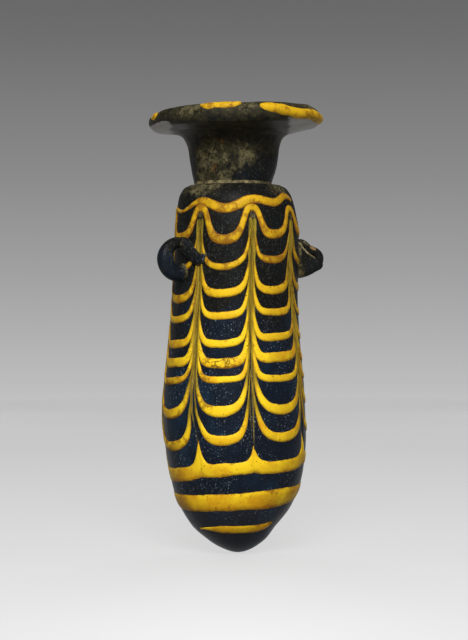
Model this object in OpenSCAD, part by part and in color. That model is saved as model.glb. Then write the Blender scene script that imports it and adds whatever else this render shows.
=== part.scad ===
// Alabastron: a small core-formed glass flask with a combed trail.
// Lengths are in millimetres. The axis of the flask is Z and its round base touches Z = 0.
// The lugs lie to the left and the right, along X, and the front looks towards -Y.

/* [Body] */
// Height from the base to the top of the shoulder
body_h = 91.5; // [82:0.5:105]
// Radius at the belly
belly_r = 17.75; // [16.5:0.25:20]
// Thickness of the wall
wall = 3; // [2:0.25:4]

/* [Neck] */
// Height of the neck
neck_h = 13; // [10:0.5:18]
// Radius of the neck below its flare
neck_r = 11.2; // [10:0.1:12]
// Radius of the bore through the neck
bore_r = 5; // [4:0.1:6]
// How much wider the throat and the mouth are than the bore
bore_step = 0.5; // [0.3:0.1:1]

/* [Rim] */
// Outer radius of the disc
rim_r = 21.5; // [19:0.25:24]
// Thickness of the disc at its rounded edge
rim_edge = 4.4; // [3:0.1:5]
// How far the edge stands above the seat on the neck
rim_lift = 1.5; // [0.8:0.1:3]
// How far the top dips from the edge to the mouth
rim_dip = 0.9; // [0.2:0.1:1.5]
// Radius of the thread on the edge
rim_thread_r = 0.9; // [0.6:0.1:1.2]
// Height of the thread on the edge, as an angle above the level
rim_thread_up = 48; // [35:1:60]

/* [Lugs] */
// Height of the middle of the eyelets, as a share of the body
lug_at_share = 0.801; // [0.75:0.005:0.84]
// Radius of the eyelets
eyelet_r = 1.8; // [1.4:0.1:2.2]
// Radius of the coil that makes a lug
lug_coil_r = 1.85; // [1.5:0.05:2.2]
// How far the eyelets cut into the ring of the coil
eyelet_cut = 0.3; // [0.2:0.05:0.4]
// Distance from the wall to the middle of an eyelet
eyelet_out = 2.1; // [1.9:0.1:2.8]
// Angle of each lug from the diameter, towards the front
lug_skew = 11; // [0:0.5:15]
// Angle that the tail of a lug goes round the wall
tail_sweep = 35; // [20:1:45]
// How far the tail comes down the wall
tail_drop = 5.2; // [3:0.1:7]
// Height of the face of the tail
tail_w = 4.6; // [3:0.1:5.5]
// How far the tail stands out from the wall
tail_relief = 1.6; // [1.2:0.1:2]

/* [Trail] */
// Width of a common thread
thread_w = 2.4; // [1.8:0.1:2.6]
// How far the threads stand out from the wall
thread_relief = 0.35; // [0.2:0.05:0.6]
// Space between a thread and the wall
thread_gap = 0.1; // [0.08:0.01:0.15]
// Number of comb strokes around the body
combs = 7; // [6:1:9]
// How far a stroke draws the trail up
comb_pull = 17; // [10:0.5:19]
// How far to the side a stroke is felt
comb_spread = 1.5; // [1.1:0.05:1.8]
// Height where the strokes stop, as a share of the body
comb_top_share = 0.968; // [0.955:0.001:0.972]
// How far apart the turns are stacked at the top of a stroke
comb_stack = 2.5; // [2.4:0.05:2.7]
// Width of a thread at the top of a stroke
comb_thread = 2.1; // [1.6:0.05:2.1]
// Share of the last turn that the trail goes round before it ends at the shoulder
trail_end_share = 0.64; // [0.5:0.01:1]
// Height of the short stroke under the trail, as a share of the body
stroke_at_share = 0.073; // [0.066:0.001:0.078]
// Height of the face of that stroke
stroke_w = 2.1; // [1.4:0.1:2.4]
// How much higher the stroke ends than it begins
stroke_rise = 1; // [0:0.1:1.5]
// Angle where the stroke begins
stroke_from = 196; // [150:1:220]
// Angle that it goes round
stroke_sweep = 100; // [80:1:200]

/* [Hidden] */
$fn = 96;

dark_glass = [0.06, 0.07, 0.13];
yellow_glass = [0.90, 0.69, 0.12];

// Outline of the body from the base to the shoulder: shares of belly_r and of body_h
body_shape = [
    [0, 0], [0.31, 0.022], [0.58, 0.071], [0.82, 0.142], [0.955, 0.24], [1, 0.39],
    [0.935, 0.535], [0.875, 0.70], [0.857, 0.875], [0.812, 0.956], [0.733, 0.989], [0.642, 1]
];
// Outline of the neck from its foot to the rim: shares of neck_r and of neck_h
neck_shape = [[0.86, 0], [0.93, 0.27], [0.975, 0.5], [1, 0.74], [1.07, 0.91], [1.19, 1]];
// The stretches of the rim thread that are left: where each begins and the angle it goes round
rim_stretches = [[-136, 28], [-95, 71], [12, 38], [70, 45], [135, 22], [174, 8], [199, 9]];

// For each turn of the trail, from the lowest: its height at the front as a share of body_h,
// its width as a share of thread_w, and the shares of comb_pull that its lower and upper edge feel
turns = [
    [0.150, 1.8, 0, 0.02], [0.238, 1.45, 0.06, 0.42], [0.315, 1.02, 1, 1], [0.392, 1.12, 1, 1],
    [0.478, 0.88, 1, 1], [0.521, 1.08, 1, 1], [0.573, 0.83, 1, 1], [0.647, 0.75, 1, 1],
    [0.709, 0.96, 1, 1], [0.776, 0.8, 1, 1], [0.848, 1, 1, 1], [0.928, 1.08, 1, 1]
];
// Angle where the trail begins, midway between two strokes at the back
trail_from = 83;
// The share of a turn from there to the front, where the heights above were taken
front_share = 0.43;
// The share of its length over which a thread tapers at its ends, and the share of its width there
taper_share = 0.12;
tip_share = 0.25;
// Sections along each thread from one stroke to the next
steps = 12;
// Turns wider than this share have a point more across them, so that they follow the wall
wide_share = 1.2;
// How sharply a turn levels off at the top of a stroke
level_power = 4;

// Points along the outlines for each knot of their shape
outline_steps = 5;
neck_steps = 4;

rim_seat_z = body_h + neck_h;
rim_edge_r = rim_edge / 2;
rim_edge_z = rim_seat_z + rim_lift + rim_edge_r;
mouth_r = bore_r + bore_step;
// How far the mouth opens out at the top of the disc
mouth_flare = 1;

// The trail passes under the lugs, so they are seated just clear of its face
lug_seat = thread_gap + thread_relief + thread_gap;
lug_ring_r = eyelet_r + lug_coil_r - eyelet_cut;
lug_z = lug_at_share * body_h;
lug_half = lug_ring_r + lug_coil_r;
// Sections along the tail, and the height of its two tips as a share of its face
tail_steps = 8;
tail_tip_share = 0.4;

panel = 360 / combs;
last_turn = len(turns) - 1;
trail_length = last_turn + trail_end_share;

// A point on the smooth curve through b and c, with a and d as their neighbours
function curve_at(a, b, c, d, t) =
    (2 * b + (c - a) * t + (2 * a - 5 * b + 4 * c - d) * t * t
    + (3 * b - a - 3 * c + d) * t * t * t) / 2;

// A smooth curve through the knots, where before is the neighbour of the first knot
function curve(knots, before, count) =
    let (
        n = len(knots),
        all = concat([before], knots, [2 * knots[n - 1] - knots[n - 2]])
    )
    concat(
        [for (i = [0 : n - 2], j = [0 : count - 1])
            curve_at(all[i], all[i + 1], all[i + 2], all[i + 3], j / count)],
        [knots[n - 1]]
    );

function stretched(shape, r, h) = [for (p = shape) [p.x * r, p.y * h]];
function turned_over(points) = [for (i = [len(points) - 1 : -1 : 0]) points[i]];

body_knots = stretched(body_shape, belly_r, body_h);
body_outline = curve(body_knots, [-body_knots[1].x, body_knots[1].y], outline_steps);
hollow_outline = [for (p = body_outline)
    [p.x * (belly_r - wall) / belly_r, wall + p.y * (body_h - 2 * wall) / body_h]];
wall_table = [for (p = body_outline) [p.y, p.x]];
function wall_r(z) = lookup(z, wall_table);

neck_knots = stretched(neck_shape, neck_r, neck_h);
neck_outline = curve(neck_knots, [neck_knots[1].x, -neck_knots[1].y], neck_steps);
neck_seat_r = neck_knots[len(neck_knots) - 1].x;

// The turn that is at its front place at u turns from the beginning of the trail
function turn_value(u, column) =
    lookup(u - front_share, [for (i = [0 : last_turn]) [i, turns[i][column]]]);
// How wide a thread is at this share of its length from the nearer end
function taper(share) = min(1, tip_share + share / taper_share);
function half_width(u) =
    thread_w * turn_value(u, 1) * min(taper(u), taper(trail_length - u)) / 2;

// Sections are close together near the strokes and wider apart between them
function panel_offset(u) =
    let (p = u * combs, middle = floor(p + 0.5))
    sin(180 * (p - middle)) / 2;
function trail_angle(u) =
    trail_from + panel * (floor(u * combs + 0.5) + panel_offset(u));
// Distance along the wall to the nearest stroke
function stroke_distance(u) =
    (0.5 - abs(panel_offset(u))) * panel * PI / 180 * belly_r;

// A pull that levels off as it comes near to its limit
function levelled(pull, limit) = pull / pow(1 + pow(pull / limit, level_power), 1 / level_power);
function drawn(u, column, limit) =
    levelled(comb_pull * turn_value(u, column) * exp(-stroke_distance(u) / comb_spread), limit);

function stack_top(u) =
    comb_top_share * body_h - comb_stack * (last_turn - min(last_turn, u - front_share));
function thread_low(u) =
    let (z = turn_value(u, 0) * body_h - half_width(u))
    z + drawn(u, 2, stack_top(u) - comb_thread * taper(trail_length - u) - z);
function thread_high(u) =
    let (z = turn_value(u, 0) * body_h + half_width(u))
    z + drawn(u, 3, stack_top(u) - z);

// A point at height z on the wall, out by the given distance
function on_wall(angle, z, out) =
    [(wall_r(z) + out) * cos(angle), (wall_r(z) + out) * sin(angle), z];

// The section of a thread: up along the wall and back down along its face, which is narrower
function thread_section(angle, low, high, across, under = thread_gap, relief = thread_relief) =
    let (slope = min(relief, (high - low) / 4), face = high - low - 2 * slope)
    concat(
        [for (i = [0 : across]) on_wall(angle, low + (high - low) * i / across, under)],
        [for (i = [across : -1 : 0])
            on_wall(angle, low + slope + face * i / across, under + relief)]
    );

// A thread through its sections, closed at both ends
module thread(sections) {
    around = len(sections[0]);
    last = len(sections) - 1;
    sides = [for (j = [0 : last - 1], c = [0 : around - 1])
        let (a = j * around + c, b = j * around + (c + 1) % around)
        each [[a, a + around, b + around], [a, b + around, b]]];
    tips = [for (c = [0 : around / 2 - 2])
        let (d = around - 1 - c, e = last * around)
        each [[c, c + 1, d - 1], [c, d - 1, d],
            [e + d - 1, e + c + 1, e + c], [e + d, e + d - 1, e + c]]];
    polyhedron([for (s = sections) each s], concat(sides, tips));
}

module body() {
    color(dark_glass)
        rotate_extrude()
            polygon(concat(
                body_outline,
                [[mouth_r, body_h], [mouth_r, body_h - wall]],
                turned_over(hollow_outline)
            ));
}

module neck() {
    color(dark_glass)
        translate([0, 0, body_h])
            rotate_extrude()
                polygon(concat([[bore_r, 0]], neck_outline, [[bore_r, neck_h]]));
}

module rim_disk() {
    edge_x = rim_r - rim_edge_r;
    color(dark_glass)
        rotate_extrude() {
            polygon([
                [mouth_r, rim_seat_z],
                [neck_seat_r, rim_seat_z],
                [edge_x, rim_edge_z - rim_edge_r],
                [edge_x, rim_edge_z + rim_edge_r],
                [mouth_r + mouth_flare, rim_edge_z + rim_edge_r - rim_dip],
                [mouth_r, rim_edge_z + rim_edge_r - rim_dip - mouth_flare]
            ]);
            translate([edge_x, rim_edge_z])
                circle(r = rim_edge_r);
        }
}

module rim_thread() {
    edge_x = rim_r - rim_edge_r;
    color(yellow_glass)
        for (stretch = rim_stretches)
            rotate([0, 0, stretch[0]])
                rotate_extrude(angle = stretch[1])
                    difference() {
                        translate([edge_x, rim_edge_z])
                            rotate(rim_thread_up)
                                translate([rim_edge_r + thread_gap, 0])
                                    circle(r = rim_thread_r);
                        translate([edge_x, rim_edge_z])
                            circle(r = rim_edge_r + thread_gap);
                        translate([0, rim_edge_z - rim_edge_r])
                            square([edge_x, rim_edge + thread_gap]);
                    }
}

// The space that the wall and the trail take up behind a lug
module lug_seat_space() {
    low = lug_z - 2 * lug_half;
    high = lug_z + 2 * lug_half;
    rotate_extrude()
        polygon([
            [0, low],
            [wall_r(low) + lug_seat, low],
            [wall_r(lug_z) + lug_seat, lug_z],
            [wall_r(high) + lug_seat, high],
            [0, high]
        ]);
}

// The end of the coil, laid slantwise down the wall from the top of the ring
module lug_tail() {
    thread([for (i = [0 : tail_steps])
        let (
            share = i / tail_steps,
            middle = lug_z + lug_ring_r - tail_drop * share,
            w = tail_w * min(1, tail_tip_share + 2 * share, tail_tip_share + 2 - 2 * share) / 2
        )
        thread_section(tail_sweep * share, middle - w, middle + w, 1, 0, tail_relief)]);
}

// A coil that arches out of the wall at the given angle, with an eyelet through it
module lug(angle) {
    color(dark_glass)
        rotate([0, 0, angle])
            difference() {
                union() {
                    translate([wall_r(lug_z) + eyelet_out, 0, lug_z])
                        rotate([90, 0, 0])
                            difference() {
                                rotate_extrude()
                                    translate([lug_ring_r, 0])
                                        circle(r = lug_coil_r);
                                cylinder(r = eyelet_r, h = 2 * lug_coil_r, center = true);
                            }
                    lug_tail();
                }
                lug_seat_space();
            }
}

module left_lug() {
    lug(180 + lug_skew);
}

module right_lug() {
    lug(-lug_skew);
}

module base_stroke() {
    count = 2 * steps;
    color(yellow_glass)
        thread([for (i = [0 : count])
            let (
                share = i / count,
                middle = stroke_at_share * body_h + stroke_rise * pow(share, 3),
                w = stroke_w * min(taper(share / 3), taper(1 - share)) / 2
            )
            thread_section(stroke_from + stroke_sweep * share, middle - w, middle + w, 2)]);
}

module trail_turn(number) {
    across = turns[number - 1][1] > wide_share ? 2 : 1;
    share = number > last_turn ? trail_end_share : 1;
    count = ceil(steps * combs * share);
    color(yellow_glass)
        thread([for (i = [0 : count])
            let (u = number - 1 + share * i / count)
            thread_section(trail_angle(u), thread_low(u), thread_high(u), across)]);
}

body();
neck();
rim_disk();
rim_thread();
left_lug();
right_lug();
base_stroke();
trail_turn(1);  // trail_turn_01
trail_turn(2);  // trail_turn_02
trail_turn(3);  // trail_turn_03
trail_turn(4);  // trail_turn_04
trail_turn(5);  // trail_turn_05
trail_turn(6);  // trail_turn_06
trail_turn(7);  // trail_turn_07
trail_turn(8);  // trail_turn_08
trail_turn(9);  // trail_turn_09
trail_turn(10);  // trail_turn_10
trail_turn(11);  // trail_turn_11
trail_turn(12);  // trail_turn_12
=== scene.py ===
"""Dresses a core-formed glass flask: its dark wall, combed yellow trail, rim and lugs."""
import bisect
import math

import bpy
from bpy.props import FloatProperty, FloatVectorProperty, IntProperty, PointerProperty
from mathutils import Euler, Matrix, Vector, noise


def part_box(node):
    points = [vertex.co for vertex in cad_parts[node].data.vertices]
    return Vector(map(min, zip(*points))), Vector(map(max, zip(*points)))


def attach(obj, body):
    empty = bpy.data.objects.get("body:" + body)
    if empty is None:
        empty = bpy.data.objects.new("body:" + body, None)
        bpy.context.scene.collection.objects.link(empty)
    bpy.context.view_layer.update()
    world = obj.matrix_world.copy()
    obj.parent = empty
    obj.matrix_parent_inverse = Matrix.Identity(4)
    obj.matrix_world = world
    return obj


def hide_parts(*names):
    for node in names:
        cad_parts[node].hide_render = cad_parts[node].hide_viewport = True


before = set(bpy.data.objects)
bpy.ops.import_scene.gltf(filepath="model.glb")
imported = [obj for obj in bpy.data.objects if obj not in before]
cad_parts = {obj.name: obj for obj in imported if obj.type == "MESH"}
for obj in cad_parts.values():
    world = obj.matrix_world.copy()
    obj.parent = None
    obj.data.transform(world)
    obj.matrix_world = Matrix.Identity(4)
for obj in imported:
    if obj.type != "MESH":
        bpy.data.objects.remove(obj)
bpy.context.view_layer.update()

bl_info = {
    "name": "Combed glass flask",
    "version": (1, 0, 0),
    "blender": (4, 5, 0),
    "location": "3D View > Sidebar > Flask",
    "description": "Builds a core-formed flask of dark glass with a combed yellow trail",
    "category": "Add Mesh",
}

MM = 0.001
BODY_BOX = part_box("body")
RIM_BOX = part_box("rim_disk")


def level_way(angle):
    """The level way out from the axis at an angle."""
    return Vector((math.cos(angle), math.sin(angle), 0))


# The angle of the camera round the flask, the angle of the side that it sees, and the way there
FACING = math.radians(-22)
FRONT = FACING - math.pi / 2
FORWARD = level_way(FRONT)

# Outline of the body from the base to the shoulder: shares of its radius and of its height
BODY_SHAPE = (
    (0, 0), (0.31, 0.022), (0.58, 0.071), (0.82, 0.142), (0.955, 0.24), (1, 0.39),
    (0.935, 0.535), (0.875, 0.70), (0.857, 0.875), (0.812, 0.956), (0.733, 0.989), (0.642, 1),
)
# Outline of the neck from its foot to the rim: shares of its radius and of its height
NECK_SHAPE = ((0.86, 0), (0.93, 0.27), (0.975, 0.5), (1, 0.74), (1.07, 0.91), (1.19, 1))

# The axis wanders as it goes up: height and sideways place, in millimetres
LEAN = (
    (0, 0.7), (3, 0.4), (6.5, -0.2), (11, 0.1), (20, 0.35), (38, -0.4), (50, -0.25), (81, 0.4),
    (91.5, 0),
)
LEAN_TOWARDS = level_way(FACING)
NECK_LEAN = -0.5 * MM
RIM_LEAN = 0.1 * MM

# The comb went up the wall seven times. Each stroke wanders: height in millimetres and degrees
COMB_DRIFT = (
    ((22, 2), (45, -2), (80, 1.5)),
    ((22, -3), (40, 1), (80, -1)),
    ((22, 6.2), (28, 5.7), (31, 4.8), (36, 2.7), (43, 1.7), (52, 1.2), (75, 0.2), (86, 1.2)),
    ((22, -0.6), (33, -0.6), (46, -0.9), (60, -0.9), (75, -0.6), (86, 0.4)),
    ((22, 5), (33, 4.6), (46, 5), (56, 3), (72, -8), (86, -4)),
    ((22, 1), (50, -2.5), (80, 2)),
    ((22, -2), (38, 2), (80, -1.5)),
)
COMBS = len(COMB_DRIFT)
PANEL = 2 * math.pi / COMBS
# Angle where the trail begins, midway between two strokes at the back
TRAIL_FROM = math.radians(83)
# The share of a turn from there to the front, where the heights of the turns were taken
FRONT_SHARE = 3 / COMBS
# For each turn of the trail: height at the front as a share of the body, and width as a share of
# the thread
TURNS = (
    (0.149, 1.92), (0.238, 1.42), (0.315, 1.02), (0.392, 1.12), (0.476, 0.70), (0.5185, 1.08),
    (0.5705, 0.83), (0.6445, 0.80), (0.7045, 0.96), (0.773, 0.78), (0.8455, 1.02), (0.929, 1.05),
)
# What the comb did to each turn, from the lowest: nothing, a peak on its upper edge, a deep pull,
# a round arch at the end of each stroke, or a soft wave
BAND, PEAKS, PULLED, ARCHED, WAVED = range(5)
COMBING = (BAND, PEAKS, *[PULLED] * 8, ARCHED, WAVED)
LAST_TURN = len(TURNS) - 1
# The trail ends on the stroke that is at this share of its last turn
TRAIL_END_SHARE = 4.75 / COMBS
TRAIL_LENGTH = LAST_TURN + TRAIL_END_SHARE
# How much higher than an even climb each turn hangs in the three panels of the front, in
# millimetres
FRONT_PANELS = (2, 3, 4)
LIFTS = (
    (-0.6, 0, -0.3), (-0.7, 0, -0.5), (-0.9, 0, -0.3), (0, 0, -0.7), (0.6, 0, -0.3), (0.6, 0, 0.9),
    (0.5, 0, 0.8), (0.1, 0, 0.15), (-0.6, 0, -0.1), (0.6, 0.1, 1.0), (2.0, 0.15, 0.5),
    (0.9, 0.2, 1.75),
)
LOOSE_LIFT = 0.7 * MM
# How much wider than the rest of its turn the thread is in those panels, for turns that vary
FRONT_WIDTHS = {0: (0.9, 1, 1.06), 1: (0.95, 0.96, 0.97), 11: (0.42, 1.08, 0.88)}
# How worn and cracked it is in those panels, for the turns that are worn there, and elsewhere
WORN = {4: (0.5, 0.1, 0.5), 5: (0.2, 1.0, 0.3), 6: (0, 0.4, 0), 9: (0.1, 0.1, 0.5),
        10: (0.5, 0.6, 0.2), 11: (0.6, 0.3, 0.1)}
WORN_ELSEWHERE = 0.15
# For each stroke of the comb: how far it drew up the second turn, how tightly it drew the turns in
# the middle, how wide an arch it left, and how far it drew up the last turn, in millimetres
PEAK_SHARES = (0.34, 0.42, 0.40, 0.25, 0.38, 0.30, 0.44)
TIGHTNESS = (0.16, 0.22, 0.20, 0.30, 0.16, 0.24, 0.19)
ARCH_REACHES = (1.9, 2.3, 2.2, 2.3, 2.3, 2.0, 1.7)
WAVES = (1.8, 1.7, 2.05, 1.35, 2.4, 2.1, 1.6)
# How round each turn hangs between the strokes, in millimetres
ROUNDED = (0, 0, 0.7, 0.8, 0.2, 0.15, 0.2, 0.4, 0.65, 1.0, 0, 0)
# Painted shade: darker rust on the trail round the sides and the back, most at the sides
# How much of it there is round the wall: degrees from the middle of the front, which is clean
SIDE_SHADE = ((-180, 0.25), (-100, 0.3), (-62, 0.55), (-54, 0.42), (-45, 0), (22, 0), (33, 0.28),
         (48, 0.3), (58, 0.48), (100, 0.3), (180, 0.25))
# How much sooner than at the cleanest stroke the thread turns olive as it is drawn up
DULLED = (0.2, 0.4, 0.15, 0, 1.0, 0.3, 0.2)

# The stretches of the rim thread that are left: where each begins, the angle it goes round, its
# height on the edge at its two ends as angles above the level, its thickness, and the share of it
# that tapers at each end
RIM_STRETCHES = (
    (-136, 28, 47, 56, 1.2, 0.45), (-96, 74, 33, -13, 1.32, 0.06), (12, 38, 30, 55, 0.95, 0.2),
    (70, 45, 55, 40, 1.0, 0.1), (133, 20, 60, 40, 0.95, 0.3), (174, 8, 18, 28, 1.2, 0.4),
)

# The side of the neck where the crust is thickest
CRUST_SIDE = math.radians(-133)
# The angles round the wall where the two lugs are
LUG_LEFT = math.radians(191)
LUG_RIGHT = math.radians(-11)
# How much wider than the bore the throat of the body and the mouth are
THROAT_EASE = 0.5 * MM


# Settings

def length_setting(name, about, default, low, high):
    return FloatProperty(
        name=name, description=about, default=default, min=low, max=high, unit="LENGTH")


def angle_setting(name, about, default):
    return FloatProperty(name=name, description=about, default=default, subtype="ANGLE")


def power_setting(name, about, default, high):
    return FloatProperty(name=name, description=about, default=default, min=0, max=high)


def colour_setting(name, about, *default):
    return FloatVectorProperty(
        name=name, description=about, default=default, min=0, max=1, subtype="COLOR")


class FlaskSizes(bpy.types.PropertyGroup):
    """Sizes of the flask's pieces."""

    body_height: length_setting(
        "Body height", "From the base to the top of the shoulder", BODY_BOX[1].z, 0.05, 0.2)
    belly_radius: length_setting(
        "Belly radius", "Radius of the body where it is widest", BODY_BOX[1].x, 0.01, 0.03)
    wall: length_setting("Wall", "Thickness of the glass", 3 * MM, 0.001, 0.005)
    neck_radius: length_setting(
        "Neck radius", "Radius of the neck below its flare", 11.2 * MM, 0.008, 0.015)
    bore_radius: length_setting(
        "Bore radius", "Radius of the bore through the neck", 5 * MM, 0.003, 0.007)
    rim_radius: length_setting("Rim radius", "Outer radius of the disc", RIM_BOX[1].x, 0.015, 0.03)
    rim_edge: length_setting(
        "Rim edge", "Thickness of the disc at its rounded edge", 4.4 * MM, 0.002, 0.006)
    rim_thread: length_setting(
        "Rim thread", "Radius of the thread on the edge of the disc", 1.05 * MM, 0.0005, 0.002)
    lug_height: length_setting(
        "Lug height", "Height of the middle of the eyelets", 73.2 * MM, 0.05, 0.09)
    lug_coil: length_setting(
        "Lug coil", "Radius of the coil that makes a lug", 2.05 * MM, 0.001, 0.003)
    lug_ring: length_setting(
        "Lug ring", "Radius of the ring that the coil is bent to", 3.8 * MM, 0.002, 0.005)
    thread_width: length_setting(
        "Thread width", "Width of a common turn of the trail", 2.4 * MM, 0.001, 0.004)
    thread_relief: length_setting(
        "Thread relief", "How far a thread stands out from the wall", 0.30 * MM, 0.00005, 0.0006)
    comb_pull: length_setting(
        "Comb pull", "How far a stroke of the comb draws the trail up", 17 * MM, 0.005, 0.02)
    comb_spread: length_setting(
        "Comb spread", "How far to the side a stroke is felt", 1.2 * MM, 0.0005, 0.003)
    furrow_depth: length_setting(
        "Furrow depth", "Depth of the groove that a stroke leaves in the wall", 0.32 * MM, 0, 0.001)


class FlaskColours(bpy.types.PropertyGroup):
    """Colours of the glass, of what has settled on it, and of the light painted on it."""

    dark: colour_setting("Dark glass", "The common colour of the wall", 0.0064, 0.0092, 0.0155)
    # Also the blue on the front panel, which is partly painted light
    blue: colour_setting("Blue glass", "The wall where its blue shows", 0.0080, 0.0200, 0.037)
    sooty: colour_setting(
        "Sooty glass", "The wall where it is weathered, high up", 0.0062, 0.0058, 0.0040)
    speck: colour_setting("Specks", "Pale specks in the dark glass", 0.25, 0.30, 0.33)
    # Painted reflection: the grey painted under the rim and, faintly, near the bottom of the body
    film: colour_setting("Sheen", "Grey film under the rim", 0.46, 0.45, 0.42)
    crust: colour_setting("Crust", "Olive weathering on the neck and the rim", 0.070, 0.060, 0.030)
    pale: colour_setting(
        "Pale crust", "Cream weathering in creases and on edges", 0.285, 0.235, 0.115)
    yellow: colour_setting("Yellow glass", "The common colour of the trail", 0.83, 0.55, 0.016)
    amber: colour_setting(
        "Amber glass", "The trail where it is deeper in colour", 0.62, 0.305, 0.010)
    aged: colour_setting(
        "Aged glass", "The trail where it is weathered, high up", 0.34, 0.195, 0.007)
    # Also used for painted shade: the sides of the trail and the lower edge of each thread
    rust: colour_setting(
        "Rust stain", "Brown stains and the edges of the trail", 0.18, 0.066, 0.008)
    olive: colour_setting(
        "Olive streaks", "Yellow glass that the comb has drawn thin", 0.27, 0.195, 0.019)
    floor: colour_setting(
        "Floor", "The floor and the backdrop where they are palest", 0.92, 0.92, 0.92)


class FlaskStage(bpy.types.PropertyGroup):
    """The camera and the light."""

    azimuth: angle_setting("Azimuth", "Angle of the camera round the flask", FACING)
    distance: length_setting("Distance", "From the camera to the axis of the flask", 0.5, 0.2, 2)
    height: length_setting("Height", "Height of the camera", 58 * MM, 0, 0.5)
    lens: FloatProperty(
        name="Lens", description="Focal length, in millimetres", default=112.5, min=20, max=300)
    key: power_setting("Key light", "Power of the large light, in watts", 9.6, 100)
    key_aside: angle_setting(
        "Key aside", "Angle of the large light to the right of the camera", 0.0)
    key_up: angle_setting(
        "Key height", "Angle of the large light above the level", math.radians(34))
    back: power_setting(
        "Back lights", "Power of each of the two lights behind, in watts", 4.6, 100)
    back_aside: angle_setting(
        "Back aside", "Angle of those lights to each side of the camera", math.radians(154))
    back_up: angle_setting(
        "Back height", "Angle of those lights above the level", math.radians(20))
    sky: power_setting("Sky light", "Strength of the even light from above", 0.05, 5)
    columns: IntProperty(
        name="Columns", description="Faces round the stage", default=96, min=24, max=256)


# Curves and tables

def smooth_curve(knots, before, count):
    """A curve through the knots, where before is the neighbour of the first knot."""
    every = [before, *knots, 2 * knots[-1] - knots[-2]]
    points = []
    for a, b, c, d in zip(every, every[1:], every[2:], every[3:]):
        for step in range(count):
            t = step / count
            points.append((2 * b + (c - a) * t + (2 * a - 5 * b + 4 * c - d) * t * t
                           + (3 * b - a - 3 * c + d) * t ** 3) / 2)
    return points + [knots[-1]]


def smooth_step(low, high, value):
    """Nought below low, one above high, and a soft step between them."""
    share = min(1.0, max(0.0, (value - low) / (high - low)))
    return share * share * (3 - 2 * share)


def between(table, value, soft=False):
    """Reads a table of pairs at a value, straight or softly from one row to the next."""
    i = bisect.bisect([row[0] for row in table], value)
    if i == 0:
        return table[0][1]
    if i == len(table):
        return table[-1][1]
    (low, a), (high, b) = table[i - 1], table[i]
    share = smooth_step(low, high, value) if soft else (value - low) / (high - low)
    return a + (b - a) * share


def waver(*place):
    """A smooth chance value between about -1 and 1 that belongs to a place."""
    return noise.noise(Vector(place))


def unevenness(waves, x, y, z):
    """Adds up waves of chance; each has its depth in millimetres, how close it comes round and up,
    and a start."""
    return MM * sum(depth * waver(x * close, y * close, z / MM * up + start)
                    for depth, close, up, start in waves)


# Making a mesh by hand

DOUBLES = 0.002 * MM
SMOOTH_UNDER = math.radians(50)


def clear_selection():
    """Leaves edit mode and selects nothing."""
    if bpy.context.object and bpy.context.object.mode != "OBJECT":
        bpy.ops.object.mode_set(mode="OBJECT")
    bpy.ops.object.select_all(action="DESELECT")


def pick(*pieces):
    """Selects pieces, with the first of them active."""
    clear_selection()
    for piece in pieces:
        piece.select_set(True)
    bpy.context.view_layer.objects.active = pieces[0]


def named(name):
    """Names the piece that was just added."""
    piece = bpy.context.object
    piece.name = name
    piece.data.name = name
    return piece


def turn_outline(name, outline, steps, closed=False):
    """Draws an outline of (radius, height) and spins it round the axis."""
    points = [Vector((p[0], 0, p[1])) for p in outline]
    if closed:
        points.append(points[0])
    clear_selection()
    bpy.ops.mesh.primitive_plane_add(size=MM)
    piece = named(name)
    bpy.ops.object.mode_set(mode="EDIT")
    bpy.ops.mesh.merge(type="CENTER")
    bpy.ops.transform.translate(value=points[0])
    for a, b in zip(points, points[1:]):
        bpy.ops.mesh.extrude_region_move(TRANSFORM_OT_translate={"value": b - a})
    bpy.ops.mesh.select_all(action="SELECT")
    bpy.ops.mesh.spin(steps=steps, angle=2 * math.pi, center=(0, 0, 0), axis=(0, 0, 1))
    close_up(piece)
    return piece


def close_up(piece):
    """Merges doubled points and turns all faces outwards."""
    bpy.context.view_layer.objects.active = piece
    bpy.ops.object.mode_set(mode="EDIT")
    bpy.ops.mesh.select_all(action="SELECT")
    bpy.ops.mesh.remove_doubles(threshold=DOUBLES)
    bpy.ops.mesh.normals_make_consistent(inside=False)
    bpy.ops.object.mode_set(mode="OBJECT")


def draw_out(name, rings, sides):
    """Draws a round out through rings, each with its middle and the two half axes of its oval."""
    clear_selection()
    bpy.ops.mesh.primitive_circle_add(vertices=sides, radius=1, fill_type="NGON")
    piece = named(name)
    bpy.ops.object.mode_set(mode="EDIT")
    for _ in rings[1:]:
        bpy.ops.mesh.extrude_region_move(TRANSFORM_OT_translate={"value": (0, 0, 1)})
    bpy.ops.object.mode_set(mode="OBJECT")
    for v in piece.data.vertices:
        middle, side, up = rings[round(v.co.z)]
        v.co = middle + side * v.co.x + up * v.co.y
    close_up(piece)
    return piece


def roll_coil(name, path, radii, sides):
    """Draws a round coil out along a path, with its radius at each point of the path."""
    last = len(path) - 1
    side = None
    rings = []
    for i, radius in enumerate(radii):
        along = (path[min(i + 1, last)] - path[max(i - 1, 0)]).normalized()
        side = along.orthogonal() if side is None else side
        side = (side - along * side.dot(along)).normalized()
        rings.append((path[i], side * radius, along.cross(side) * radius))
    return draw_out(name, rings, sides)


def lay_strip(name, along, across, place, marks):
    """Lays a strip of faces; place gives the point and the marks for shares along and across."""
    clear_selection()
    bpy.ops.mesh.primitive_grid_add(x_subdivisions=along, y_subdivisions=across, size=1)
    piece = named(name)
    for kind in marks:
        piece.data.attributes.new(kind, "FLOAT", "POINT")
    # A new layer moves the others, so they are looked up once all are there
    layers = [piece.data.attributes[kind] for kind in marks]
    for i, v in enumerate(piece.data.vertices):
        v.co, values = place(v.co.x + 0.5, v.co.y + 0.5)
        for layer, value in zip(layers, values):
            layer.data[i].value = value
    return piece


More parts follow.
